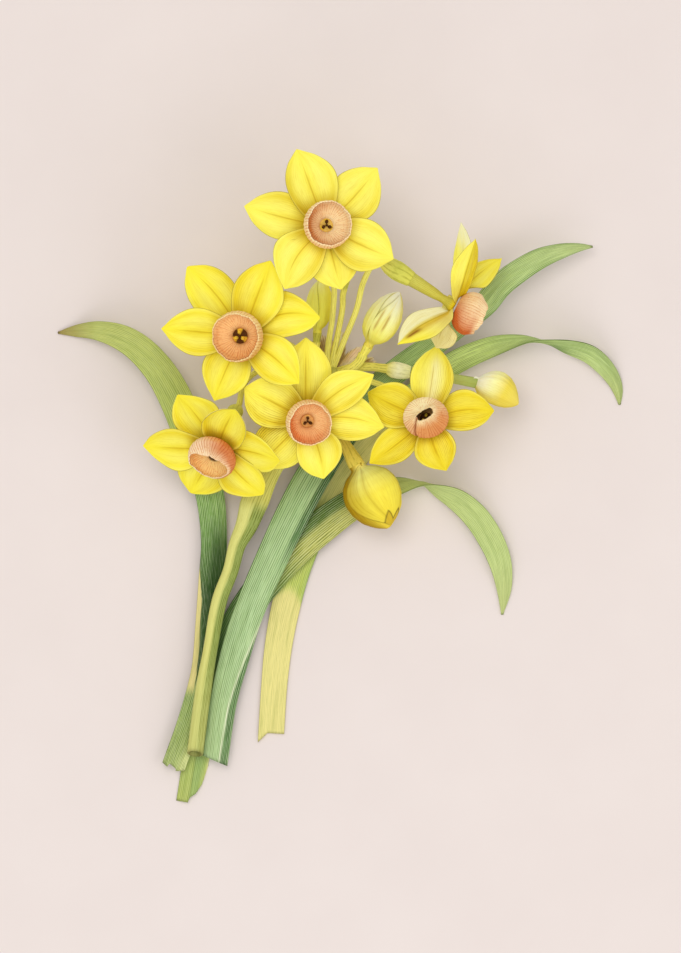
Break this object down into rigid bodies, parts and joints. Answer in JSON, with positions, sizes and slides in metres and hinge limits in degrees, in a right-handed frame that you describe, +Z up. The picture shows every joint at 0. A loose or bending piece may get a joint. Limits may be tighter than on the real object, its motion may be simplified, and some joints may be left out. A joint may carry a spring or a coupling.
{
  "type": "cut bunch of chinese sacred lily",
  "caption": "Cut bunch of a cluster-flowered yellow narcissus with orange cups, buds and strap leaves, lying on its back.",
  "frame": {"origin": "bottom centre of the bounding box, on the surface that the bunch lies on", "axes": "+X to the right of the bunch, +Y from the cut ends towards the top bloom, +Z up from the surface"},
  "size_m": [0.1568, 0.1789, 0.0522],
  "materials": {
    "stalk": "satin, finely striped yellow-green",
    "paper_sheath": "dry, papery, brown",
    "leaf_dark": "satin, dark green, striped lengthwise",
    "leaf": "satin, blue-green, striped lengthwise",
    "leaf_pale": "satin, pale yellow-green, striped lengthwise",
    "petal": "soft matt, bright yellow, finely veined",
    "cup": "soft matt, orange, with a pale rim",
    "anther": "powdery yellow",
    "bud": "soft matt, pale yellow, ribbed"
  },
  "bodies": {
    "root": {"flower_stem": "stalk", "spathe": "paper_sheath", "leaf_left": "leaf_dark", "leaf_front": "leaf", "leaf_pale": "leaf_pale", "leaf_low": "leaf", "bloom_top_petals": "petal", "bloom_top_cup": "cup", "bloom_top_stamens": "anther", "bloom_left_petals": "petal", "bloom_left_cup": "cup", "bloom_left_stamens": "anther", "bloom_centre_petals": "petal", "bloom_centre_cup": "cup", "bloom_centre_stamens": "anther", "bloom_low_petals": "petal", "bloom_low_cup": "cup", "bloom_low_stamens": "anther", "bloom_right_petals": "petal", "bloom_right_cup": "cup", "bloom_right_stamens": "anther", "bloom_side_petals": "petal", "bloom_side_cup": "cup", "bloom_side_stamens": "anther", "bud_small": "bud", "bud_upright": "bud", "bud_hidden": "bud", "bud_pale": "bud", "bud_nodding": "bud"}
  },
  "joints": []
}
